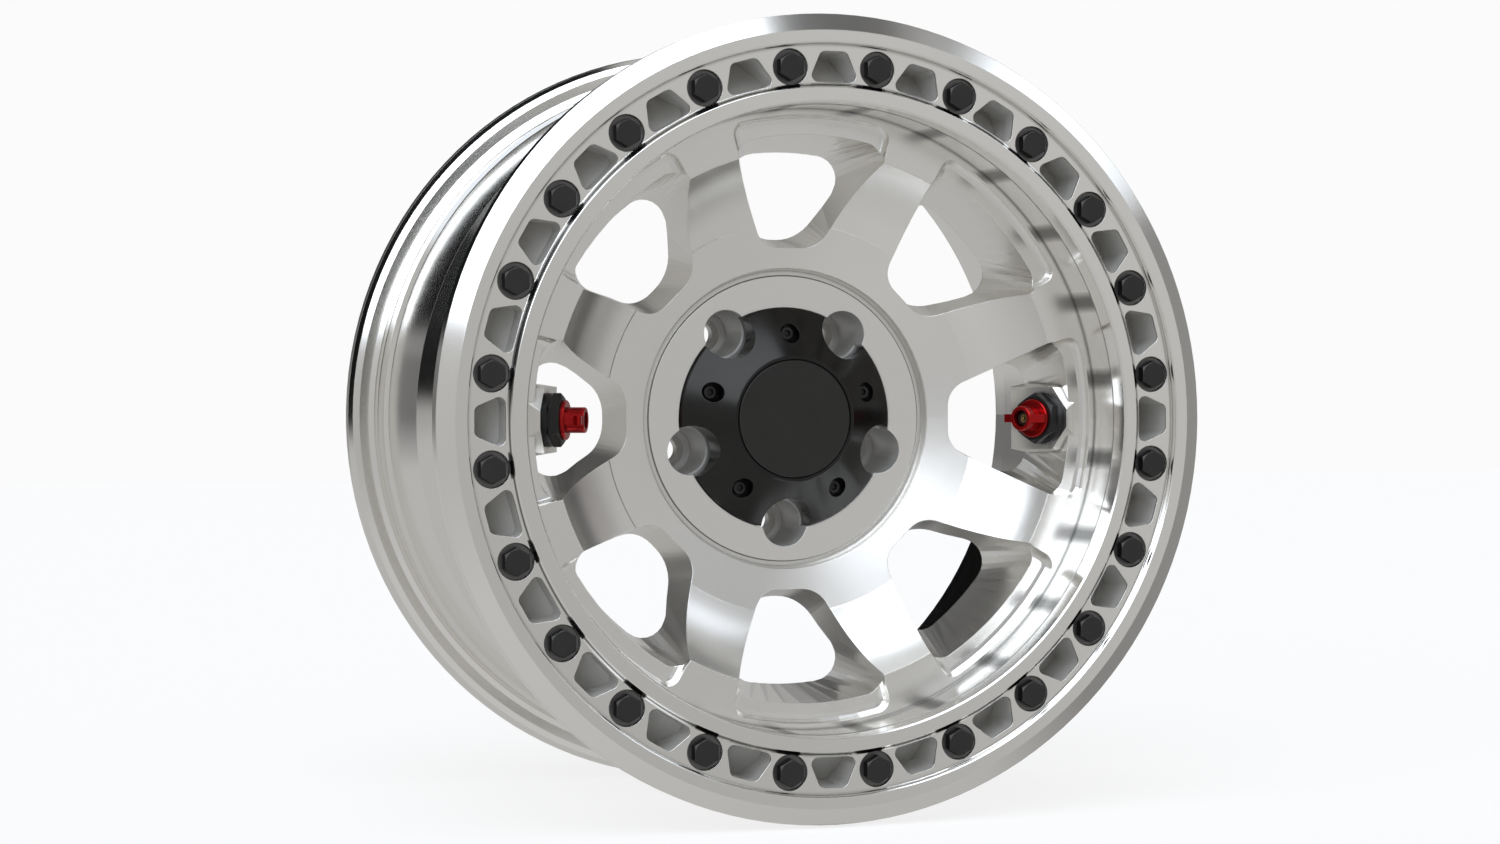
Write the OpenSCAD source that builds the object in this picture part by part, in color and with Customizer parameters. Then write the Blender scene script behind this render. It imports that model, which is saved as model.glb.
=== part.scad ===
// Beadlock wheel for an off-road vehicle, with a bolted clamp ring and two quick-release valves.
// Units are millimetres. Z is the wheel's axis and points to its front, X is to the right and Y is
// up in the photograph. The origin is the centre of the hub bore on the face that meets the hub.

/* [Hub] */
// Radius of the hub bore
bore_r = 36; // [34:0.5:39]
// Radius of the face that meets the hub
hub_face_r = 82; // [80:0.5:84]
// Thickness of the hub, from its mounting face to its front pad
hub_t = 58; // [56:0.5:60]
// Radius of the flat front pad
pad_r = 86.3; // [85:0.1:88]
// Radius of the circle of lug holes
lug_circle_r = 63.5; // [63.5:0.5:65.5]
// Number of lug holes
lug_count = 5; // [5:1:5]
// Radius of a lug hole's counterbore
lug_bore_r = 14.2; // [13.5:0.1:14.5]
// Radius of a lug stud's hole
lug_hole_r = 7.5; // [7:0.1:8.5]
// Thickness of metal under a lug nut
lug_seat_t = 12; // [11:0.5:14]

/* [Face] */
// Width of the dish, from the pad's edge to the crease
dish_w = 73; // [71:0.5:75]
// Width of the flat band outside the crease
band_w = 24.4; // [23:0.1:26]
// Depth of the outer band below the clamp face
band_depth = 26; // [25.5:0.1:26.5]
// Height of the clamp face above the front pad
face_rise = 75; // [74:0.5:76]
// Height of the dish's inner edge above the front pad
dish_step = 5.1; // [4.5:0.1:6]
// Height of the crease above the line of the dish's inner slope
dish_rise = 18.7; // [17:0.1:20]
// Radius of the dish's hollow curve
dish_arc_r = 84.5; // [82:0.5:88]
// Distance of the spokes' rear face behind the front pad
spoke_back_d = 2.2; // [1:0.1:4]

/* [Barrel] */
// Height of the flanges above the bead seats
flange_h = 18.7; // [18:0.1:19.5]
// Thickness of the rear flange
flange_t = 12.6; // [12:0.1:13.5]
// Distance of the rear flange's outer face behind the mounting face
back_space = 108.2; // [106:0.1:110]
// Depth of the drop well below the bead seats
well_d = 22.8; // [22:0.1:24]
// Width of the drop well's floor
well_w = 58; // [55:0.5:60]
// Thickness of the barrel at the drop well
barrel_t = 8.5; // [8:0.1:9.5]
// Thickness of the barrel at the rear flange
rear_wall_t = 5.5; // [5:0.1:7]

/* [Windows] */
// Number of windows
window_count = 8; // [8:1:8]
// Slant of a window's sides from its centre line, in degrees
window_slant = 29.4; // [28:0.1:30.5]
// Distance of a window's inner end from the pad's edge, in front
window_in = 16.7; // [16:0.1:18]
// Reach of a window's outer end past the crease, in front
window_out = 9.4; // [9:0.1:10]
// Corner radius at a window's inner end in front
window_in_corner = 16; // [14:0.5:18]
// Corner radius at a window's outer end in front
window_out_corner = 10; // [8:0.5:11]
// How much a window narrows on each side towards the rear
window_draft = 6.2; // [5.5:0.1:7]
// Depth of the shelf at a window's outer end below the outer band
shelf_depth = 5; // [4.5:0.1:5.5]
// Distance of the shelf's outer end from the wall outside the band
shelf_wall_w = 3.4; // [3:0.1:4]
// Half width of the shelf's recess
shelf_half_w = 48.9; // [48:0.1:50]

/* [Clamp ring] */
// Width of the ring's inner lip
lip_w = 11.4; // [11:0.1:12]
// Distance from the bolt circle to the inner edge of the ring's track
track_in_w = 10.1; // [9.8:0.1:10.4]
// Distance from the bolt circle to the outer edge of the ring's track
track_out_w = 11.9; // [11.5:0.1:12.5]
// Width of the ring outside its track
rim_w = 18.1; // [17.5:0.1:19]
// Thickness of the clamp ring at its bolts
ring_t = 10.3; // [10:0.1:11]
// Height of the ring's lip and rim above its track
ring_step = 4.6; // [4:0.1:5]
// Number of ring bolts
bolt_count = 24; // [24:1:24]
// Radius of a ring bolt's counterbore
ring_cbore_r = 10.6; // [10.5:0.1:10.9]
// Depth of a ring bolt's counterbore
ring_cbore_d = 4; // [3.8:0.1:4.5]
// Length of a pocket, outwards from the track's inner edge
pocket_len = 18.1; // [17.5:0.1:18.5]
// Half width of a pocket at its inner wall, before its corners are rounded
pocket_in_w = 15.7; // [15.2:0.1:16]
// Half width of a pocket at its outer wall, before its corners are rounded
pocket_out_w = 8; // [7.5:0.1:8.5]
// Radius of a pocket's corners
pocket_corner = 4; // [3:0.5:5]

/* [Ring bolts] */
// Radius of a bolt's shank
bolt_r = 4.7; // [4.6:0.05:4.75]
// Distance across the flats of a bolt's head
bolt_af = 14.3; // [14:0.1:15]
// Height of a bolt's head
bolt_head_h = 6.35; // [6:0.05:6.5]
// Length of a bolt under its head
bolt_len = 31.75; // [28:0.25:33]
// Clearance between a washer and its counterbore
washer_gap = 0.3; // [0.2:0.05:1]
// Thickness of a washer
washer_t = 1.65; // [1.5:0.05:1.8]

/* [Centre cap] */
// Radius of the cap
cap_r = 66.9; // [66.5:0.1:67.1]
// Depth of the recess that the cap sits in
cap_recess_d = 13; // [12:0.5:14]
// Height of the cap's edge above the front pad
cap_edge_h = 1.5; // [1:0.1:2.5]
// Height of the cap's top above the front pad
cap_top_h = 18.8; // [18:0.1:20]
// Radius of the cap's disc
disc_r = 35.3; // [34:0.1:35.8]
// Radius of the scallops round the lug holes
scallop_r = 15.5; // [15:0.1:16]
// Radius of the circle of cap screws
cap_screw_circle_r = 51.5; // [51:0.1:52]
// Radius of the cap's screw recesses
cap_screw_recess_r = 6; // [5.5:0.1:6.5]

/* [Valves] */
// Tilt of a valve's axis out of the plane of the wheel, in degrees
valve_tilt = 28; // [26:0.5:29]
// Distance of a valve's seat inside the crease
valve_seat_in = 2; // [1.5:0.1:2.5]
// Depth of a valve's seat below the outer band
valve_seat_d = 17.5; // [17:0.1:18]
// Radius of a valve's round flange
valve_flange_r = 15.7; // [15:0.1:16]
// Distance across the flats of a valve's hex
valve_af = 27.2; // [26.5:0.1:27.5]
// Radius of a valve's threaded end
valve_thread_r = 7.95; // [7.8:0.05:8]
// Length of a valve's threaded end
valve_thread_len = 13.5; // [12:0.5:14]
// Radius of the neck that a collar turns on
neck_r = 4.5; // [4.4:0.05:4.6]
// Radius of a collar's disc
collar_disc_r = 11.6; // [11:0.1:12]
// Radius of a collar's tube
collar_r = 7.5; // [7.3:0.1:7.8]
// Height of a collar's mouth above the seat
collar_top = 23; // [22.5:0.1:23.5]
// Width of a collar's wings
wing_w = 5; // [4.5:0.1:5.5]
// Reach of a collar's long wing from its axis
wing_reach = 13; // [12:0.1:13.5]

/* [Hidden] */
$fn = 96;

// Colours
aluminium = [0.70, 0.69, 0.67];
black = [0.06, 0.06, 0.06];
dark_steel = [0.18, 0.18, 0.17];
washer_grey = [0.36, 0.36, 0.35];
red = [0.70, 0.08, 0.08];
brass = [0.72, 0.58, 0.30];
rubber = [0.03, 0.03, 0.03];

// Radii that follow from the sizes above, from the pad outwards
fit = 0.3;
crease_r = pad_r + dish_w;
face_wall_r = crease_r + band_w;
ring_in_r = face_wall_r + fit;
track_in_r = ring_in_r + lip_w;
bolt_circle_r = track_in_r + track_in_w;
track_out_r = bolt_circle_r + track_out_w;
ring_r = track_out_r + rim_w;
flange_r = ring_r + 1.5;
bead_seat_r = flange_r - flange_h;
well_r = bead_seat_r - well_d;
barrel_in_r = well_r - barrel_t;
rear_open_r = bead_seat_r - rear_wall_t;
cap_recess_r = cap_r + fit + 0.1;
dish_in_r = pad_r + 4.8;
window_in_r = pad_r + window_in;
window_out_r = crease_r + window_out;
shelf_out_r = face_wall_r - shelf_wall_w;
spoke_back_r = barrel_in_r - 47;
pocket_in_r = track_in_r + 0.2;
pocket_out_r = pocket_in_r + pocket_len;
valve_seat_r = crease_r - valve_seat_in;

// Heights that follow from the sizes above
rear_z = -back_space;
flange_in_z = rear_z + flange_t;
clamp_z = hub_t + face_rise;
band_z = clamp_z - band_depth;
shelf_z = band_z - shelf_depth;
ring_top_z = clamp_z + ring_t;
cbore_z = ring_top_z - ring_cbore_d;
bolt_seat_z = cbore_z + washer_t;
cap_seat_z = hub_t - cap_recess_d;
dish_in_z = hub_t + dish_step;
spoke_back_z = hub_t - spoke_back_d;
valve_seat_z = band_z - valve_seat_d;
well_top_z = clamp_z - 63;
well_bottom_z = well_top_z - well_w;
boss_top_z = 22.5;

// First holes, in degrees from the right
bolt_step = 360 / bolt_count;
lug_first = 54;
cap_screw_first = 90;
eps = 0.02;

// A point on a circle
function on_circle(c, r, a) = [c[0] + r * cos(a), c[1] + r * sin(a)];

// Points along an arc, from angle a0 to angle a1 in n steps
function arc(c, r, a0, a1, n) = [for (i = [0:n]) on_circle(c, r, a0 + (a1 - a0) * i / n)];

// An outline mirrored in the centre line, so that half of it is enough
function both_sides(half) = concat(half, [for (i = [len(half) - 1:-1:0]) [-half[i][0], half[i][1]]]);

// Copies around the wheel's axis
module around(count, first = 0) {
    for (i = [0:count - 1]) rotate([0, 0, first + i * 360 / count]) children();
}

// Places children in a valve's frame: its axis is Z, and X points outwards and to the front
module at_valve(side) {
    rotate([0, 0, side]) translate([valve_seat_r, 0, valve_seat_z]) rotate([0, valve_tilt - 90, 0])
        children();
}

// Dish: a straight slope, then a hollow arc that ends at the crease and all but touches the slope
dish_blend = 0.3;
dish_slope = (band_z - dish_rise - dish_in_z) / (crease_r - dish_in_r);
dish_tilt = atan(dish_slope);
arc_above = dish_rise * cos(dish_tilt) - dish_blend;
arc_along = (crease_r - dish_in_r) / cos(dish_tilt) + dish_rise * sin(dish_tilt)
    - sqrt(arc_above * (2 * dish_arc_r - arc_above));
arc_over = dish_arc_r + dish_blend;
arc_start_r = dish_in_r + arc_along * cos(dish_tilt);
arc_start_z = dish_in_z + arc_along * sin(dish_tilt);
arc_c = [arc_start_r - arc_over * sin(dish_tilt), arc_start_z + arc_over * cos(dish_tilt)];
function dish_cone(r) = dish_in_z + dish_slope * (r - dish_in_r);
function dish_bowl(r) = arc_c[1] - sqrt(pow(dish_arc_r, 2) - pow(min(r, crease_r) - arc_c[0], 2));
function dish(r) = r < arc_start_r ? dish_cone(r) : max(dish_cone(min(r, crease_r)), dish_bowl(r));

// Wheel body

// Section of the wheel, from the hub bore round the rear, up the outside and back over the face
bead_hump_h = 1.6;
bead_hump_w = 6;
hump_s = 25;
web_cove = 8;
back_ramp = 18;
boss_draft = 2;
module wheel_section() {
    edge = 1;
    seat_taper = 2.7;
    front_seat_z = clamp_z - 16;
    front_hump_z = clamp_z - 27;
    difference() {
        polygon([
            [bore_r, 0],
            [hub_face_r - edge, 0],
            [hub_face_r, edge],
            [hub_face_r + boss_draft, boss_top_z],
            [spoke_back_r, spoke_back_z],
            [barrel_in_r - web_cove, spoke_back_z],
            [barrel_in_r, spoke_back_z + web_cove - edge],
            [barrel_in_r, well_bottom_z - boss_draft],
            [barrel_in_r + back_ramp, well_bottom_z - boss_draft - back_ramp],
            [rear_open_r - 4 * edge, flange_in_z + hump_s],
            [rear_open_r - 3 * edge, flange_in_z + 8 * edge],
            [rear_open_r - edge, rear_z],
            [flange_r - 5, rear_z],
            [flange_r - 1.5, rear_z + 0.1 * flange_t],
            [flange_r, rear_z + 0.36 * flange_t],
            [flange_r - 0.6, rear_z + 0.64 * flange_t],
            [flange_r - 3.2, rear_z + 0.89 * flange_t],
            [flange_r - 7, flange_in_z],
            [bead_seat_r + 6, flange_in_z],
            [bead_seat_r + 2.6, flange_in_z + 1.6],
            [bead_seat_r + 1.1, flange_in_z + 5],
            [bead_seat_r, flange_in_z + hump_s - 3],
            [bead_seat_r + bead_hump_h, flange_in_z + hump_s],
            [bead_seat_r - 0.6, flange_in_z + hump_s + 4.5],
            [bead_seat_r - 5, well_bottom_z - 19],
            [well_r, well_bottom_z],
            [well_r, well_top_z],
            [bead_seat_r, front_hump_z - 12],
            [bead_seat_r + seat_taper, front_hump_z],
            [bead_seat_r + seat_taper, front_hump_z + bead_hump_w],
            [bead_seat_r, front_seat_z],
            [bead_seat_r - 0.8, clamp_z],
            [face_wall_r, clamp_z],
            [face_wall_r, band_z],
            [crease_r, band_z],
            [arc_start_r, arc_start_z],
            [dish_in_r, dish_in_z],
            [dish_in_r - 1.6, hub_t - edge],
            [pad_r + 0.8, hub_t - edge],
            [pad_r, hub_t],
            [cap_recess_r, hub_t],
            [cap_recess_r, cap_seat_z],
            [bore_r, cap_seat_z]
        ]);
        translate(arc_c) circle(r = dish_arc_r);
    }
}

// Half outline of a window: its inner corner, its side, its outer corner and half its outer arc
function window_half(in_r, corner_x, in_corner, out_r, out_corner) =
    let (
        corner_c = [corner_x, in_r + in_corner],
        side = corner_c[0] * cos(window_slant) - corner_c[1] * sin(window_slant),
        mid_r = out_r - out_corner,
        out_a = acos((side + in_corner - out_corner) / mid_r) - window_slant,
        out_c = on_circle([0, 0], mid_r, out_a)
    )
    concat(
        arc(corner_c, in_corner, -90, -window_slant, 7),
        arc(out_c, out_corner, -window_slant, out_a, 7),
        [for (i = [1:3]) on_circle([0, 0], out_r, out_a + (90 - out_a) * i / 3.5)]
    );

window_corner_x = 8;
window_back_corner_x = 2;
back_cone_slope = (spoke_back_z - boss_top_z) / (spoke_back_r - hub_face_r - boss_draft);
function spoke_back(r) = min(spoke_back_z, spoke_back_z - back_cone_slope * (spoke_back_r - r));

window_front = both_sides(window_half(window_in_r, window_corner_x, window_in_corner,
    window_out_r, window_out_corner));
window_back = both_sides(window_half(window_in_r + window_draft, window_back_corner_x,
    window_in_corner + window_draft, window_out_r - window_draft - 1.2, window_out_corner + 4));

// A solid from a stack of outlines with as many points each, closed with a fan at both ends
module loft(rings) {
    n = len(rings[0]);
    last = len(rings) - 1;
    sides = [for (k = [0:last - 1]) for (i = [0:n - 1]) let (j = (i + 1) % n)
        [k * n + i, (k + 1) * n + i, (k + 1) * n + j, k * n + j]];
    bottom = [for (i = [0:n - 1]) [(i + 1) % n, i, n * (last + 1)]];
    top = [for (i = [0:n - 1]) [last * n + i, last * n + (i + 1) % n, n * (last + 1) + 1]];
    function middle(ring) = [for (k = [0:2]) (min([for (p = ring) p[k]]) + max([for (p = ring) p[k]])) / 2];
    polyhedron(concat([for (r = rings) each r], [middle(rings[0]), middle(rings[last])]),
        concat([for (f = sides) [f[3], f[2], f[1], f[0]]], [for (f = bottom) [f[2], f[1], f[0]]],
            [for (f = top) [f[2], f[1], f[0]]]), convexity = 4);
}

// The window runs from its front outline on the dish to its smaller outline on the spokes' back
module window() {
    front = [for (p = window_front) [p[0], p[1], min(dish(norm(p)), shelf_z)]];
    back = [for (p = window_back) [p[0], p[1], spoke_back(norm(p))]];
    over = [for (i = [0:len(front) - 1]) front[i] + 0.35 * (front[i] - back[i])];
    under = [for (i = [0:len(front) - 1]) back[i] - 0.3 * (front[i] - back[i])];
    rotate([0, 0, -90]) loft([under, over]);
}

// Half outline of a shelf's recess, moved inwards by off
recess_corner = 8;
recess_slant = 16;
recess_mid_r = crease_r + 6.7;
function recess_half(off) =
    let (
        side = shelf_half_w * cos(recess_slant) - recess_mid_r * sin(recess_slant) - recess_corner,
        mid_r = shelf_out_r - recess_corner,
        out_a = acos(side / mid_r) - recess_slant,
        out_c = on_circle([0, 0], mid_r, out_a),
        low_y = recess_mid_r - 20
    )
    concat(
        [[(side + recess_corner - off + low_y * sin(recess_slant)) / cos(recess_slant), low_y]],
        arc(out_c, recess_corner - off, -recess_slant, out_a, 6),
        [for (i = [1:3]) on_circle([0, 0], shelf_out_r - off, out_a + (90 - out_a) * i / 3.5)]
    );

// The shelf's recess has a hollow corner between its wall and its floor
module recess() {
    hollow_r = shelf_depth - fit;
    steps = [for (a = [0:30:90]) [hollow_r * (1 - sin(a)), hollow_r * (1 - cos(a))]];
    walls = [for (s = steps) [for (p = both_sides(recess_half(s[0]))) [p[0], p[1], shelf_z + s[1]]]];
    over = [for (p = both_sides(recess_half(0))) [p[0], p[1], band_z + 6]];
    rotate([0, 0, -90]) loft(concat(walls, [over]));
}

// Outline of a pocket in the clamp ring, with round corners
module pocket_outline() {
    slant = atan((pocket_in_w - pocket_out_w) / (pocket_out_r - pocket_in_r));
    in_c = [pocket_in_r + pocket_corner,
        pocket_in_w - pocket_corner * tan(slant) - pocket_corner / cos(slant)];
    out_c = [pocket_out_r - pocket_corner,
        pocket_out_w + pocket_corner * tan(slant) - pocket_corner / cos(slant)];
    half = concat(arc(in_c, pocket_corner, 180, 90 - slant, 8),
        arc(out_c, pocket_corner, 90 - slant, 0, 6));
    polygon(concat(half, [for (i = [len(half) - 1:-1:0]) [half[i][0], -half[i][1]]]));
}

// The pockets go on into the wheel down to a floor that slopes outwards
pocket_shallow = 2;
pocket_deep = 25;
module pocket_floors() {
    intersection() {
        around(bolt_count) translate([0, 0, clamp_z - pocket_deep - 5])
            linear_extrude(pocket_deep + 6) pocket_outline();
        rotate_extrude() polygon([
            [pocket_in_r - 3, clamp_z + 2],
            [pocket_in_r - 3, clamp_z - pocket_shallow],
            [pocket_out_r, clamp_z - pocket_deep],
            [pocket_out_r + 3, clamp_z - pocket_deep],
            [pocket_out_r + 3, clamp_z + 2]
        ]);
    }
}

// Block that a valve sits on, seen along the valve's axis
pad_back = 25;
pad_front = 18;
pad_half_w = 19.2;
pad_sink = 20;
pad_flare = 4;
module valve_pad() {
    shoulder = pad_front - 11;
    hull() {
        translate([0, 0, -eps]) linear_extrude(eps) polygon([
            [-pad_back, -pad_half_w],
            [shoulder, -pad_half_w],
            [pad_front, -5.5],
            [pad_front, 5.5],
            [shoulder, pad_half_w],
            [-pad_back, pad_half_w]
        ]);
        translate([0, 0, -pad_sink]) linear_extrude(eps) polygon([
            [-pad_back, 1 - pad_half_w - pad_flare],
            [shoulder + 2, -pad_half_w - pad_flare],
            [pad_front, -pad_half_w + 2],
            [pad_front, pad_half_w - 2],
            [shoulder + 2, pad_half_w + pad_flare],
            [-pad_back, pad_half_w + pad_flare - 1]
        ]);
    }
}

// Threaded hole, seal seat and air passage of a valve
seal_seat_r = valve_thread_r + 2.35;
seal_seat_d = 1.9;
tap_gap = 0.04;
air_bore_r = 4;
module valve_bore() {
    translate([0, 0, -seal_seat_d]) cylinder(r = seal_seat_r, h = 40);
    translate([0, 0, -valve_thread_len - 1]) cylinder(r = valve_thread_r + tap_gap, h = 20);
    translate([0, 0, -60]) cylinder(r = air_bore_r, h = 60);
}

// Lug hole with its counterbore and its conical seat
module lug_hole() {
    lug_step_w = 0.7;
    cone_h = 5;
    seat_r = lug_hole_r + 2.9;
    translate([lug_circle_r, 0, 0]) {
        translate([0, 0, -1]) cylinder(r = lug_hole_r, h = hub_t);
        translate([0, 0, lug_seat_t - cone_h]) cylinder(r1 = lug_hole_r, r2 = seat_r, h = cone_h);
        translate([0, 0, lug_seat_t]) cylinder(r = lug_bore_r - lug_step_w, h = hub_t);
        translate([0, 0, lug_seat_t + lug_step_w]) cylinder(r = lug_bore_r, h = hub_t);
    }
}

cap_tap_r = 2.5;
cap_tap_depth = 15;
tap_r = bolt_r + 0.06;
tap_depth = bolt_len - 6.75;
module wheel() {
    color(aluminium) difference() {
        union() {
            difference() {
                rotate_extrude() wheel_section();
                around(window_count) window();
                around(window_count) recess();
            }
            at_valve(0) valve_pad();
            at_valve(180) valve_pad();
        }
        pocket_floors();
        around(bolt_count, bolt_step / 2) translate([bolt_circle_r, 0, clamp_z - tap_depth])
            cylinder(r = tap_r, h = tap_depth + 1);
        around(lug_count, lug_first) lug_hole();
        around(lug_count, cap_screw_first) translate([cap_screw_circle_r, 0, cap_seat_z - cap_tap_depth])
            cylinder(r = cap_tap_r, h = cap_tap_depth + 1);
        at_valve(0) valve_bore();
        at_valve(180) valve_bore();
    }
}

// Clamp ring and its bolts

clear_r = bolt_r + fit;
module bead_ring() {
    edge_h = 9;
    chamfer = 0.4;
    step_z = ring_top_z + ring_step;
    lip_slope = 4;
    rim_slope = 10;
    color(aluminium) difference() {
        rotate_extrude() polygon([
            [ring_in_r, clamp_z],
            [ring_r, clamp_z],
            [ring_r, clamp_z + edge_h],
            [ring_r - rim_slope, step_z],
            [track_out_r + 1.5, step_z],
            [track_out_r + 0.8, step_z - 0.6],
            [track_out_r + chamfer, ring_top_z + chamfer],
            [track_out_r, ring_top_z],
            [track_in_r, ring_top_z],
            [track_in_r - chamfer, ring_top_z + chamfer],
            [track_in_r - lip_slope, step_z - chamfer],
            [track_in_r - lip_slope - 0.8, step_z],
            [ring_in_r + 1, step_z],
            [ring_in_r, step_z - 1]
        ]);
        around(bolt_count) translate([0, 0, clamp_z - 1])
            linear_extrude(ring_t + ring_step + 2) pocket_outline();
        around(bolt_count, bolt_step / 2) translate([bolt_circle_r, 0, 0]) {
            translate([0, 0, clamp_z - 1]) cylinder(r = clear_r, h = ring_t);
            translate([0, 0, cbore_z]) cylinder(r = ring_cbore_r, h = ring_cbore_d + ring_step + 1);
        }
    }
}

// Hex head with a chamfered top, its corners along Y
module hex_head(af, h, chamfer) {
    intersection() {
        rotate([0, 0, 30]) cylinder(r = af / 2 / cos(30), h = h, $fn = 6);
        union() {
            cylinder(r = af / 2 / cos(30) + 1, h = h - chamfer);
            translate([0, 0, h - chamfer])
                cylinder(r1 = af / 2 / cos(30) + eps, r2 = af / 2 - 0.3, h = chamfer);
        }
    }
}

module ring_bolts() {
    color(dark_steel) for (i = [0:bolt_count - 1]) {
        a = bolt_step * (i + 0.5);
        translate(concat(on_circle([0, 0], bolt_circle_r, a), [bolt_seat_z])) {
            hex_head(bolt_af, bolt_head_h, 1);
            translate([0, 0, 1.5 - bolt_len]) cylinder(r = bolt_r, h = bolt_len);
            translate([0, 0, -bolt_len]) cylinder(r1 = bolt_r - 1, r2 = bolt_r, h = 1.5);
        }
    }
}

module ring_washers() {
    color(washer_grey) around(bolt_count, bolt_step / 2) translate([bolt_circle_r, 0, cbore_z])
        difference() {
            cylinder(r = ring_cbore_r - washer_gap, h = washer_t);
            translate([0, 0, -1]) cylinder(r = bolt_r + 0.15, h = washer_t + 2);
        }
}

// Centre cap

cap_edge_z = hub_t + cap_edge_h;
cap_top_z = hub_t + cap_top_h;
disc_t = 3;
cap_screw_seat = 1.5;
module center_cap() {
    rim_w = 2;
    hollow_r = 33;
    roof = 4;
    color(black) difference() {
        rotate_extrude() polygon([
            [0, cap_top_z - disc_t - roof],
            [hollow_r - 3, cap_top_z - disc_t - roof],
            [hollow_r, cap_top_z - disc_t - roof - 3],
            [hollow_r, cap_seat_z],
            [cap_r, cap_seat_z],
            [cap_r, cap_edge_z - 0.6],
            [cap_r - 0.9, cap_edge_z + 0.2],
            [disc_r + 0.7 + rim_w, cap_top_z - 0.6],
            [disc_r + 0.7 + rim_w - 0.5, cap_top_z - 0.2],
            [disc_r + 0.7, cap_top_z - 0.2],
            [disc_r + 0.7, cap_top_z - 1.6],
            [disc_r + 0.1, cap_top_z - 1.6],
            [disc_r + 0.1, cap_top_z - disc_t],
            [0, cap_top_z - disc_t]
        ]);
        around(lug_count, lug_first) translate([lug_circle_r, 0, cap_seat_z - 1])
            cylinder(r = scallop_r, h = 40);
        around(lug_count, cap_screw_first) translate([cap_screw_circle_r, 0, 0]) {
            translate([0, 0, hub_t + cap_screw_seat]) cylinder(r = cap_screw_recess_r, h = 30);
            translate([0, 0, cap_seat_z - 1]) cylinder(r = cap_tap_r + 0.25, h = 30);
        }
    }
}

module cap_disc() {
    color(black) translate([0, 0, cap_top_z - disc_t]) {
        cylinder(r = disc_r, h = disc_t - 0.4);
        translate([0, 0, disc_t - 0.4]) cylinder(r1 = disc_r, r2 = disc_r - 0.4, h = 0.4);
    }
}

module cap_screws() {
    head_r = 4.2;
    head_h = 3;
    key_af = 4;
    color(black) around(lug_count, cap_screw_first)
        translate([cap_screw_circle_r, 0, hub_t + cap_screw_seat]) difference() {
            union() {
                translate([0, 0, head_h - 0.5]) cylinder(r1 = head_r, r2 = head_r - 0.5, h = 0.5);
                cylinder(r = head_r, h = head_h - 0.5);
                translate([0, 0, -24]) cylinder(r = cap_tap_r - 0.04, h = 25);
            }
            translate([0, 0, head_h - 2]) cylinder(r = key_af / 2 / cos(30), h = 4, $fn = 6);
        }
}

// Valves

valve_flange_t = 3.6;
valve_hex_top = 9.7;
stem_top = 20;
stem_r = 3.85;
groove_s = 13.35;
groove_w = 1;
core_bottom = 9;
core_r = 2.6;
air_r = 1.8;
module valve_body() {
    color(black) difference() {
        union() {
            translate([0, 0, -valve_thread_len])
                cylinder(r1 = valve_thread_r - 1, r2 = valve_thread_r, h = 1);
            translate([0, 0, 1 - valve_thread_len]) cylinder(r = valve_thread_r, h = valve_thread_len);
            cylinder(r = valve_flange_r, h = valve_flange_t - 1.2);
            translate([0, 0, valve_flange_t - 1.2])
                cylinder(r1 = valve_flange_r, r2 = valve_flange_r - 1.6, h = 1.2);
            translate([0, 0, valve_flange_t - eps])
                hex_head(valve_af, valve_hex_top - valve_flange_t + eps, 1.6);
            translate([0, 0, valve_hex_top - 1]) cylinder(r = neck_r, h = groove_s - valve_hex_top + 1);
            translate([0, 0, groove_s - 1]) cylinder(r = stem_r, h = stem_top - groove_s + 1);
        }
        translate([0, 0, core_bottom]) cylinder(r = core_r + 0.04, h = stem_top);
        translate([0, 0, -valve_thread_len - 1]) cylinder(r = air_r, h = 30);
    }
}

module valve_seal() {
    wire_r = 0.93;
    color(rubber) translate([0, 0, -seal_seat_d / 2]) rotate_extrude()
        translate([valve_thread_r + 0.15 + wire_r, 0]) circle(r = wire_r);
}

// Plan of the long wing: its top is level with the mouth. The short wing slopes down to the disc
mouth_r = 5.2;
web_top = 13.3;
collar_s = 9.8;
disc_top = 12;
module valve_knob() {
    color(red) difference() {
        union() {
            translate([0, 0, collar_s]) cylinder(r = collar_disc_r, h = disc_top - collar_s - 0.5);
            translate([0, 0, disc_top - 0.5]) cylinder(r1 = collar_disc_r, r2 = collar_disc_r - 0.5, h = 0.5);
            translate([0, 0, collar_s + 1]) cylinder(r = collar_r, h = collar_top - collar_s - 1.5);
            translate([0, 0, collar_top - 0.5]) cylinder(r1 = collar_r, r2 = collar_r - 0.5, h = 0.5);
            translate([0, wing_w / 2, 0]) rotate([90, 0, 0]) linear_extrude(wing_w) polygon([
                [0, disc_top - 1], [collar_disc_r - 1.5, disc_top - 1], [collar_r + 0.8, 17.5],
                [wing_reach, 20.6], [wing_reach, 22.2], [wing_reach - 1, collar_top - 0.3],
                [0, collar_top - 0.3]
            ]);
            translate([0, wing_w / 2, 0]) rotate([90, 0, 0]) linear_extrude(wing_w) polygon([
                [0, disc_top - 1], [-collar_disc_r + 0.3, disc_top - 1],
                [-collar_disc_r + 0.3, 14], [-collar_r, collar_top - 0.6], [0, collar_top - 0.6]
            ]);
        }
        translate([0, 0, web_top]) cylinder(r = mouth_r, h = 20);
        translate([0, 0, collar_s - 1]) cylinder(r = neck_r + 0.05, h = 20);
    }
}

module snap_ring() {
    color(dark_steel) translate([0, 0, groove_s + 0.03]) difference() {
        cylinder(r = mouth_r - 0.1, h = groove_w - 0.1);
        translate([0, 0, -1]) cylinder(r = stem_r + 0.05, h = 4);
        translate([0, -0.9, -1]) cube([8, 1.8, 4]);
    }
}

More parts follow.
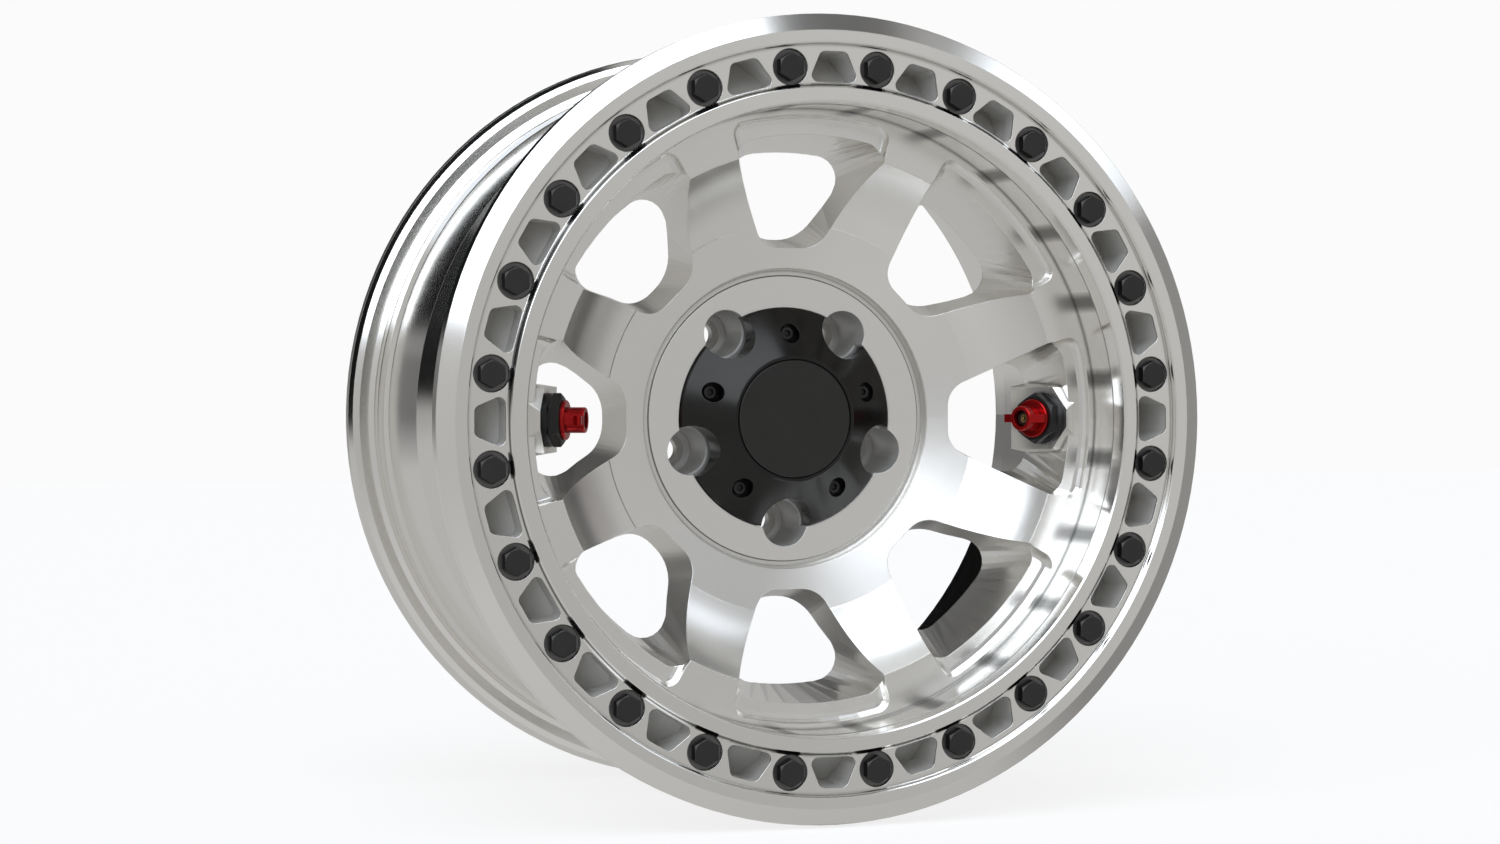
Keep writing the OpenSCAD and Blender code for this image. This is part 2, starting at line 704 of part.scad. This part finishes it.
pin_r = 0.8;
module valve_core() {
    color(brass) difference() {
        translate([0, 0, core_bottom + 0.02]) cylinder(r = core_r, h = stem_top - core_bottom - 0.6);
        translate([0, 0, core_bottom - 1]) cylinder(r = pin_r + 0.04, h = 20);
        translate([0, 0, stem_top - 2.4]) cylinder(r = 1.7, h = 4);
    }
}

module core_pin() {
    color(brass) {
        translate([0, 0, core_bottom + 1]) cylinder(r = pin_r, h = stem_top - core_bottom - 0.8);
    }
}

module valve_body_a() { at_valve(0) valve_body(); }
module valve_seal_a() { at_valve(0) valve_seal(); }
module valve_knob_a() { at_valve(0) rotate([0, 0, 180]) valve_knob(); }
module snap_ring_a() { at_valve(0) snap_ring(); }
module valve_core_a() { at_valve(0) valve_core(); }
module core_pin_a() { at_valve(0) core_pin(); }
module valve_body_b() { at_valve(180) valve_body(); }
module valve_seal_b() { at_valve(180) valve_seal(); }
module valve_knob_b() { at_valve(180) valve_knob(); }
module snap_ring_b() { at_valve(180) snap_ring(); }
module valve_core_b() { at_valve(180) valve_core(); }
module core_pin_b() { at_valve(180) core_pin(); }

wheel();
bead_ring();
ring_bolts();
ring_washers();
center_cap();
cap_disc();
cap_screws();
valve_body_a();
valve_seal_a();
valve_knob_a();
snap_ring_a();
valve_core_a();
core_pin_a();
valve_body_b();
valve_seal_b();
valve_knob_b();
snap_ring_b();
valve_core_b();
core_pin_b();
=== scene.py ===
import bpy
import math
from mathutils import Euler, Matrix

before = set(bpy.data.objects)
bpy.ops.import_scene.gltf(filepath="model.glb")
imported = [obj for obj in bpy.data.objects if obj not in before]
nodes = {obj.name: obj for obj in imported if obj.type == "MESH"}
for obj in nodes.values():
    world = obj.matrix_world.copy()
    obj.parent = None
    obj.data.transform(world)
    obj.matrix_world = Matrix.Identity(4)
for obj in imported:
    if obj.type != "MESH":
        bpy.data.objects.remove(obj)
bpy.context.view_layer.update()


# Camera: beside the wheel's axis to the left, looking down on the face
CAMERA_PLACE = (-0.6101, 0.0216, 1.7767)
CAMERA_TURN = (-0.75, -18.883, 0.01)
CAMERA_LENS = 72.12
SENSOR_WIDTH = 36.0

# Brightness of the room and the background
ROOM_LIGHT = 0.5
BACKGROUND = 0.965

# Floor: most of its brightness is a glow, and a small share is reflected, so its shadow is faint
FLOOR_GLOW = 0.80
FLOOR_SHARE = 0.25
FLOOR_COLOUR = (0.85, 0.85, 0.85, 1)
FLOOR_ROUGHNESS = 0.9
FLOOR_Y = -0.2372
FLOOR_SIZE = 12

# Places on the wheel, in metres: radii, and heights along its axis
BAND_R = 0.159
WALL_R = 0.1837
WALL_FOOT = 0.107
WALL_TOP = 0.133
BOLTS = 24
BARREL_TOP = 0.01
RING_FACE = 0.143
POCKET_SPAN = (0.190, 0.2305)
POCKET_FLOOR = 0.106
PAD_FACE = 0.058
PAD_R = 0.0865
LUG_SPAN = (0.048, 0.0815)
LIP_TOP = 0.1455
LIP_FLAT = (0.185, 0.1926)
LIP_LINE = (0.1935, 0.1944)

# Where one finish ends and the next begins, in metres: margins, and widths of the soft change
FACE_MARGIN = 0.0006
RING_MARGIN = 0.0013
LINE_HALF = 0.0003
LINE_REACH = 0.003
BARREL_BLEND = 0.01
BAND_BLEND = 0.002
BLEND = 0.001
LIP_BLEND = 0.0006
FINE_BLEND = 0.0004
SHARP_BLEND = 0.0002

# Finish of the aluminium, and its painted shade: stripes, fine lines and corners
METAL_DARK = (0.87, 0.855, 0.82)
METAL_LIGHT = (0.90, 0.885, 0.85)
METAL_CLOUDS = 9.0
METAL_GRAIN = 900.0
METAL_EDGE = 0.0006
METAL_SHADE_REACH = 0.003
STRIPE_WAVE = (-0.6, -0.97)
STRIPE_SHADE_TONE = 0.22
LINE_SHADE_TONE = 0.25
POCKET_TONE = 0.80
CORNER_SHADE_TONE = 0.35
POCKET_METALLIC = 0.55
POCKET_ROUGHNESS = 0.42
WORN_ROUGHNESS = 0.3
GRAIN_SPREAD = 0.02
LATHE_PITCH = 0.0004
LATHE_STRENGTH = 0.05
LATHE_DEPTH = 0.00002

# Finish of the other pieces, with painted shade in corners and on sides along the axis
COAT_CLOUDS = 60.0
COAT_GRAIN = 2500.0
COAT_SHADE_REACH = 0.002
COAT_STRENGTH = 0.08
COAT_DEPTH = 0.00003
FLANK_FACING = (0.5, 0.2)

# Both kinds of finish, with the painted shade in corners, and the edges, brighter where worn and where a
# glint is painted
ROUGHNESS_SPREAD = 0.03
CORNER_SHADE_SPAN = (0.85, 0.45)
EDGE_TURN = (0.985, 0.90)
EDGE_SPOTS = (0.2, 1.0)
SHADER_SAMPLES = 6

scene = bpy.context.scene
scene.view_settings.view_transform = "Standard"


def add_camera():
    data = bpy.data.cameras.new("camera")
    data.lens = CAMERA_LENS
    data.sensor_width = SENSOR_WIDTH
    camera = bpy.data.objects.new("camera", data)
    camera.location = CAMERA_PLACE
    camera.rotation_euler = Euler([math.radians(a) for a in CAMERA_TURN])
    scene.collection.objects.link(camera)
    scene.camera = camera


# Node helpers

def new_material(name):
    material = bpy.data.materials.new(name)
    material.use_nodes = True
    tree = material.node_tree
    shader = tree.nodes["Principled BSDF"]
    return material, tree, shader


def set_inputs(node, **values):
    for name, value in values.items():
        node.inputs[name.replace("_", " ")].default_value = value


def add_node(tree, kind, **inputs):
    node = tree.nodes.new(kind)
    set_inputs(node, **inputs)
    return node


def feed(tree, socket, value):
    """Sets a number on a socket, or links an output to it."""
    if isinstance(value, (int, float)):
        socket.default_value = value
    else:
        tree.links.new(value, socket)


def math_node(tree, operation, *values):
    node = tree.nodes.new("ShaderNodeMath")
    node.operation = operation
    for socket, value in zip(node.inputs, values):
        feed(tree, socket, value)
    return node.outputs[0]


def product(tree, a, b):
    return math_node(tree, "MULTIPLY", a, b)


def ramp(tree, value, low, high):
    """From low to high while value goes from 0 to 1."""
    node = add_node(tree, "ShaderNodeMapRange", To_Min=low, To_Max=high)
    tree.links.new(value, node.inputs["Value"])
    return node.outputs["Result"]


def steps_up(tree, value, start, end):
    """Rises from 0 at start to 1 at end."""
    node = add_node(tree, "ShaderNodeMapRange", From_Min=start, From_Max=end)
    tree.links.new(value, node.inputs["Value"])
    return node.outputs["Result"]


def between(tree, value, low, high, soft):
    """1 where value lies between low and high, with soft edges, and 0 elsewhere."""
    rise = steps_up(tree, value, low - soft / 2, low + soft / 2)
    fall = steps_up(tree, value, high + soft / 2, high - soft / 2)
    return product(tree, rise, fall)


def mix_values(tree, factor, a, b):
    node = tree.nodes.new("ShaderNodeMix")
    for socket, value in zip((node.inputs[0], node.inputs[2], node.inputs[3]), (factor, a, b)):
        feed(tree, socket, value)
    return node.outputs[0]


def mix_colours(tree, factor, a, b):
    node = tree.nodes.new("ShaderNodeMix")
    node.data_type = "RGBA"
    node.inputs[6].default_value = (*a, 1)
    node.inputs[7].default_value = (*b, 1)
    tree.links.new(factor, node.inputs[0])
    return node.outputs[2]


def scaled(tree, colour, factor, level):
    """Scales a colour by level where factor is 1."""
    node = tree.nodes.new("ShaderNodeMix")
    node.data_type = "RGBA"
    node.blend_type = "MULTIPLY"
    node.inputs[7].default_value = (level, level, level, 1)
    tree.links.new(factor, node.inputs[0])
    tree.links.new(colour, node.inputs[6])
    return node.outputs[2]


def split(tree, vector):
    node = tree.nodes.new("ShaderNodeSeparateXYZ")
    tree.links.new(vector, node.inputs[0])
    return node.outputs


def place(tree):
    return tree.nodes.new("ShaderNodeTexCoord").outputs["Object"]


def noise(tree, scale, detail=3.0):
    node = add_node(tree, "ShaderNodeTexNoise", Scale=scale, Detail=detail)
    tree.links.new(place(tree), node.inputs["Vector"])
    return node.outputs["Fac"]


def height_of(tree):
    """Height along the wheel's axis."""
    return split(tree, place(tree))[2]


def radius_of(tree):
    """Distance from the wheel's axis."""
    squares = [math_node(tree, "POWER", axis, 2.0) for axis in split(tree, place(tree))[:2]]
    return math_node(tree, "SQRT", math_node(tree, "ADD", *squares))


def soft_edges(tree, radius):
    """Rounds sharp edges in the shading."""
    bevel = add_node(tree, "ShaderNodeBevel", Radius=radius)
    bevel.samples = SHADER_SAMPLES
    return bevel.outputs[0]


def bumped(tree, normal, height, strength, distance):
    bump = add_node(tree, "ShaderNodeBump", Strength=strength, Distance=distance)
    tree.links.new(height, bump.inputs["Height"])
    tree.links.new(normal, bump.inputs["Normal"])
    return bump.outputs[0]


def corners(tree, reach):
    """1 in the narrow corners that little light gets into, and 0 in the open."""
    node = add_node(tree, "ShaderNodeAmbientOcclusion", Distance=reach)
    node.samples = SHADER_SAMPLES
    return steps_up(tree, node.outputs["AO"], *CORNER_SHADE_SPAN)


def worn_and_glinting_edges(tree, normal, spots):
    """1 on sharp edges, broken up by a noise, and 0 elsewhere."""
    flat = tree.nodes.new("ShaderNodeNewGeometry")
    turn = tree.nodes.new("ShaderNodeVectorMath")
    turn.operation = "DOT_PRODUCT"
    tree.links.new(normal, turn.inputs[0])
    tree.links.new(flat.outputs["Normal"], turn.inputs[1])
    edge = steps_up(tree, turn.outputs["Value"], *EDGE_TURN)
    return product(tree, edge, ramp(tree, spots, *EDGE_SPOTS))


def upright_faces(tree):
    """1 on faces along the wheel's axis, and 0 on faces across it."""
    facing = split(tree, tree.nodes.new("ShaderNodeNewGeometry").outputs["Normal"])
    return steps_up(tree, facing[2], *FLANK_FACING)


# Aluminium

def painted_stripe_shade(tree):
    """Painted shade: soft dark stripes on the wheel's wall under the ring, one at each bolt's angle."""
    x, y, z = split(tree, place(tree))
    wave = math_node(tree, "COSINE", product(tree, math_node(tree, "ARCTAN2", y, x), BOLTS))
    across = steps_up(tree, wave, *STRIPE_WAVE)
    wall = between(tree, radius_of(tree), WALL_R - FACE_MARGIN, WALL_R + FACE_MARGIN, SHARP_BLEND)
    height = between(tree, z, WALL_FOOT, WALL_TOP, BLEND)
    return product(tree, across, product(tree, wall, height))


def sheltered(tree):
    """1 inside the ring's pockets and the lug holes."""
    height = height_of(tree)
    radius = radius_of(tree)
    under_ring = between(tree, height, POCKET_FLOOR, RING_FACE - RING_MARGIN, BLEND)
    pockets = product(tree, under_ring, between(tree, radius, *POCKET_SPAN, BLEND))
    pad_top = PAD_FACE - FACE_MARGIN
    under_pad = steps_up(tree, height, pad_top, pad_top - BLEND)
    lugs = product(tree, under_pad, between(tree, radius, *LUG_SPAN, BLEND))
    return math_node(tree, "MAXIMUM", pockets, lugs)


def painted_shade_lines(tree):
    """Painted shade: the thin dark line round the hub's pad, and the one in the lip's slope."""
    radius = radius_of(tree)
    height = height_of(tree)
    pad = between(tree, radius, PAD_R - LINE_HALF, PAD_R + LINE_HALF, FINE_BLEND)
    at_pad = between(tree, height, PAD_FACE - LINE_REACH, PAD_FACE + LINE_REACH, BLEND)
    lip = between(tree, radius, *LIP_LINE, FINE_BLEND)
    at_lip = steps_up(tree, height, RING_FACE, RING_FACE + BLEND)
    return math_node(tree, "MAXIMUM", product(tree, pad, at_pad), product(tree, lip, at_lip))


def levelled(tree, normal):
    """Turns the inner part of the ring's lip to face up, so that it mirrors like the flat top."""
    flat = between(tree, radius_of(tree), *LIP_FLAT, LIP_BLEND)
    high = steps_up(tree, height_of(tree), LIP_TOP - SHARP_BLEND, LIP_TOP)
    node = tree.nodes.new("ShaderNodeMix")
    node.data_type = "VECTOR"
    node.inputs[5].default_value = (0, 0, 1)
    tree.links.new(product(tree, flat, high), node.inputs[0])
    tree.links.new(normal, node.inputs[4])
    return node.outputs[1]


def turned_rings(tree):
    """Fine grooves round the wheel's axis, as a lathe leaves them: a height from -1 to 1."""
    return math_node(tree, "SINE", product(tree, radius_of(tree), 2 * math.pi / LATHE_PITCH))


def aluminium(name, dish, outside, barrel):
    """Turned aluminium: roughnesses for the dish inside the band, for the rest and for the barrel."""
    material, tree, shader = new_material(name)
    inside = sheltered(tree)
    cloud = noise(tree, METAL_CLOUDS)
    fine = noise(tree, METAL_GRAIN)
    normal = soft_edges(tree, METAL_EDGE)
    tree.links.new(mix_values(tree, inside, 1.0, POCKET_METALLIC), shader.inputs["Metallic"])

    metal = mix_colours(tree, cloud, METAL_DARK, METAL_LIGHT)
    # painted shade: dark stripes at the bolts' angles on the wall under the ring
    metal = scaled(tree, metal, painted_stripe_shade(tree), STRIPE_SHADE_TONE)
    # painted shade: thin dark lines round the hub's pad and in the lip's slope
    metal = scaled(tree, metal, painted_shade_lines(tree), LINE_SHADE_TONE)
    metal = scaled(tree, metal, inside, POCKET_TONE)
    # painted shade: corners that little light gets into are darkened, except inside the pockets and lug
    # holes
    corner_shade_outside_pockets = mix_values(tree, inside, corners(tree, METAL_SHADE_REACH), 0.0)
    metal = scaled(tree, metal, corner_shade_outside_pockets, CORNER_SHADE_TONE)
    tree.links.new(metal, shader.inputs["Base Color"])

    satin = ramp(tree, fine, dish - ROUGHNESS_SPREAD, dish + ROUGHNESS_SPREAD)
    front = steps_up(tree, height_of(tree), BARREL_TOP, BARREL_TOP + BARREL_BLEND)
    grain = ramp(tree, fine, -GRAIN_SPREAD, GRAIN_SPREAD)
    smooth = math_node(tree, "ADD", grain, mix_values(tree, front, barrel, outside))
    outer = steps_up(tree, radius_of(tree), BAND_R, BAND_R + BAND_BLEND)
    turned = mix_values(tree, outer, satin, smooth)
    matt = mix_values(tree, inside, turned, POCKET_ROUGHNESS)
    worn = mix_values(tree, worn_and_glinting_edges(tree, normal, cloud), matt, WORN_ROUGHNESS)
    tree.links.new(worn, shader.inputs["Roughness"])

    normal = levelled(tree, normal)
    normal = bumped(tree, normal, turned_rings(tree), LATHE_STRENGTH, LATHE_DEPTH)
    tree.links.new(normal, shader.inputs["Normal"])
    return material


# Coats, steel, brass and rubber

def coated(name, dark, light, roughness, metallic, edge=0.0003, edge_wear_and_glint=1.6, corner_shade_tone=0.3, flank_shade_tone=1.0):
    """A finish with fine grain; its edges are brighter, partly worn and partly a painted glint, and
    painted shade darkens its corners and its sides along the axis.
    """
    material, tree, shader = new_material(name)
    set_inputs(shader, Metallic=metallic)
    cloud = noise(tree, COAT_CLOUDS)
    fine = noise(tree, COAT_GRAIN)
    normal = soft_edges(tree, edge)
    coat = mix_colours(tree, cloud, dark, light)
    # painted shade: darker in corners that little light gets into
    coat = scaled(tree, coat, corners(tree, COAT_SHADE_REACH), corner_shade_tone)
    # painted shade: sides along the axis darker than the faces across it
    coat = scaled(tree, coat, upright_faces(tree), flank_shade_tone)
    # brighter edges: partly worn metal, partly a painted glint
    coat = scaled(tree, coat, worn_and_glinting_edges(tree, normal, cloud), edge_wear_and_glint)
    tree.links.new(coat, shader.inputs["Base Color"])
    satin = ramp(tree, cloud, roughness - ROUGHNESS_SPREAD, roughness + ROUGHNESS_SPREAD)
    tree.links.new(satin, shader.inputs["Roughness"])
    normal = bumped(tree, normal, fine, COAT_STRENGTH, COAT_DEPTH)
    tree.links.new(normal, shader.inputs["Normal"])
    return material


def dress():
    cap_coat = coated("satin_black_coat", (0.028, 0.027, 0.026), (0.034, 0.033, 0.031),
                      roughness=0.19, metallic=0.9, edge=0.0005)
    disc_coat = coated("matt_black_coat", (0.044, 0.043, 0.041), (0.052, 0.050, 0.048),
                       roughness=0.35, metallic=0.9, edge=0.0005)
    # black steel takes painted shade on its sides along the axis, darkest of all the finishes
    black_steel = coated("black_oxide_steel", (0.040, 0.039, 0.037), (0.050, 0.049, 0.047),
                         roughness=0.38, metallic=0.8, flank_shade_tone=0.12)
    dark_steel = coated("dark_valve_steel", (0.018, 0.018, 0.018), (0.026, 0.026, 0.025),
                        roughness=0.34, metallic=0.6)
    grey_steel = coated("grey_washer_steel", (0.14, 0.137, 0.133), (0.175, 0.17, 0.165),
                        roughness=0.35, metallic=0.9, corner_shade_tone=0.8)
    red = coated("red_anodised", (0.36, 0.006, 0.007), (0.44, 0.010, 0.012),
                 roughness=0.2, metallic=0.8)
    brass = coated("brass", (0.60, 0.42, 0.16), (0.70, 0.50, 0.22),
                   roughness=0.3, metallic=1.0, edge_wear_and_glint=1.15)
    rubber = coated("black_rubber", (0.012, 0.012, 0.012), (0.02, 0.02, 0.02),
                    roughness=0.7, metallic=0.0)
    finishes = {
        "wheel": aluminium("machined_aluminium", dish=0.30, outside=0.24, barrel=0.12),
        "bead_ring": aluminium("turned_ring_aluminium", dish=0.20, outside=0.15, barrel=0.15),
        "ring_bolts": black_steel,
        "ring_washers": grey_steel,
        "center_cap": cap_coat,
        "cap_disc": disc_coat,
        "cap_screws": black_steel,
    }
    for side in "ab":
        finishes[f"valve_body_{side}"] = dark_steel
        finishes[f"valve_seal_{side}"] = rubber
        finishes[f"valve_knob_{side}"] = red
        finishes[f"snap_ring_{side}"] = black_steel
        finishes[f"valve_core_{side}"] = brass
        finishes[f"core_pin_{side}"] = brass
    for name, material in finishes.items():
        mesh = nodes[name].data
        mesh.materials.clear()
        mesh.materials.append(material)


# Studio

# What the metal mirrors, by azimuth and elevation in degrees round the wheel: first and last
# azimuth, lean of its sides, lowest and highest elevation, softness of its edge, brightness
PANELS = {
    "right_shade": (-40, 60, 0.0, -4, 18, 16.0, 0.24),
    "back_glow": (206, 290, 0.0, 30, 70, 24.0, 0.58),
    "key_softbox": (79, 159, 0.0, 10, 67, 4.0, 2.8),
    "strip_light": (19, 40, 0.6, 4, 32, 4.0, 1.6),
    "strip_top": (28, 62, 0.0, 38, 52, 8.0, 0.30),
    "grey_gap": (58, 78, 0.0, 12, 30, 6.0, 0.12),
    "ceiling_edge": (58, 100, 0.0, 56, 82, 6.0, 0.24),
    "black_wall": (88, 184, 0.0, -19, 7, 5.0, 0.006),
    "black_shoulder": (136, 177, 0.0, 0, 16, 5.0, 0.004),
    "low_white": (95, 140, 0.0, -38, -24, 6.0, 1.1),
    "dark_floor": (50, 170, 0.0, -64, -40, 10.0, 0.09),
    "black_floor": (55, 156, 0.0, -89, -60, 8.0, 0.004),
    "grey_floor": (156, 190, 0.0, -89, -55, 16.0, 0.16),
}
# Azimuths run once round from here
FIRST_AZIMUTH = -60
# The bright panels are a little cooler than the room
COOL_WHITE = (0.88, 0.94, 1.03)
COOL_FROM = (0.6, 1.0)
# The ceiling grows brighter towards the upper right: start and end of that rise, and its levels
CEILING_RISE = (0.10, 0.36)
CEILING_LEVELS = (0.43, 0.58)
CEILING_FOOT = 52
CEILING_BLEND = 12


def ceiling(tree, x, y, elevation):
    """Brightness of the room, with a soft gradient overhead."""
    along = product(tree, math_node(tree, "ADD", x, y), math.sqrt(0.5))
    glow = ramp(tree, steps_up(tree, along, *CEILING_RISE), *CEILING_LEVELS)
    overhead = steps_up(tree, elevation, CEILING_FOOT, CEILING_FOOT + CEILING_BLEND)
    return mix_values(tree, overhead, ROOM_LIGHT, glow)


def panorama(tree):
    """Brightness of the studio round the wheel: a grey room with soft lights and dark panels."""
    direction = tree.nodes.new("ShaderNodeTexCoord").outputs["Generated"]
    seam = FIRST_AZIMUTH + 180
    turn = add_node(tree, "ShaderNodeVectorRotate", Angle=-math.radians(seam))
    turn.rotation_type = "Z_AXIS"
    tree.links.new(direction, turn.inputs["Vector"])
    turned_x, turned_y, z = split(tree, turn.outputs[0])
    from_seam = math_node(tree, "DEGREES", math_node(tree, "ARCTAN2", turned_y, turned_x))
    azimuth = math_node(tree, "ADD", from_seam, seam)
    elevation = math_node(tree, "DEGREES", math_node(tree, "ARCSINE", z))
    x, y, _ = split(tree, direction)
    level = ceiling(tree, x, y, elevation)
    for first, last, lean, low, high, soft, brightness in PANELS.values():
        upright = math_node(tree, "SUBTRACT", azimuth, product(tree, elevation, lean))
        mask = product(tree, between(tree, upright, first, last, soft),
                       between(tree, elevation, low, high, soft))
        level = mix_values(tree, mask, level, brightness)
    return level


def mix_shaders(tree, factor, a, b):
    node = tree.nodes.new("ShaderNodeMixShader")
    feed(tree, node.inputs[0], factor)
    tree.links.new(a, node.inputs[1])
    tree.links.new(b, node.inputs[2])
    return node.outputs[0]


def for_camera(tree, shown, elsewhere):
    """One shader for what the camera sees and another for all other rays."""
    path = tree.nodes.new("ShaderNodeLightPath")
    return mix_shaders(tree, path.outputs["Is Camera Ray"], elsewhere, shown)


def light_the_room():
    world = bpy.data.worlds.new("studio")
    world.use_nodes = True
    scene.world = world
    tree = world.node_tree
    room = tree.nodes["Background"]
    level = panorama(tree)
    bright = steps_up(tree, level, *COOL_FROM)
    tree.links.new(level, room.inputs["Strength"])
    tree.links.new(mix_colours(tree, bright, (1, 1, 1), COOL_WHITE), room.inputs["Color"])
    white = add_node(tree, "ShaderNodeBackground", Color=(1, 1, 1, 1), Strength=BACKGROUND)
    seen = for_camera(tree, white.outputs[0], room.outputs[0])
    tree.links.new(seen, tree.nodes["World Output"].inputs["Surface"])


def lay_floor():
    """A pale floor under the upright wheel, for its faint shadow: unseen from below and in the metal."""
    bpy.ops.mesh.primitive_plane_add(size=FLOOR_SIZE, location=(0, FLOOR_Y, 0),
                                     rotation=(-math.pi / 2, 0, 0))
    floor = bpy.context.object
    floor.name = "floor"
    floor.visible_glossy = False
    material, tree, shader = new_material("pale_floor")
    set_inputs(shader, Base_Color=FLOOR_COLOUR, Roughness=FLOOR_ROUGHNESS)
    lit = tree.nodes.new("ShaderNodeAddShader")
    glow = add_node(tree, "ShaderNodeEmission", Strength=FLOOR_GLOW)
    shade = tree.nodes.new("ShaderNodeMixShader")
    shade.inputs[0].default_value = 1 - FLOOR_SHARE
    tree.links.new(shader.outputs[0], shade.inputs[1])
    tree.links.new(shade.outputs[0], lit.inputs[0])
    tree.links.new(glow.outputs[0], lit.inputs[1])
    above = for_camera(tree, lit.outputs[0], shader.outputs[0])
    below = tree.nodes.new("ShaderNodeBsdfTransparent").outputs[0]
    behind = tree.nodes.new("ShaderNodeNewGeometry").outputs["Backfacing"]
    tree.links.new(mix_shaders(tree, behind, above, below),
                   tree.nodes["Material Output"].inputs["Surface"])
    floor.data.materials.append(material)


add_camera()
dress()
light_the_room()
lay_floor()
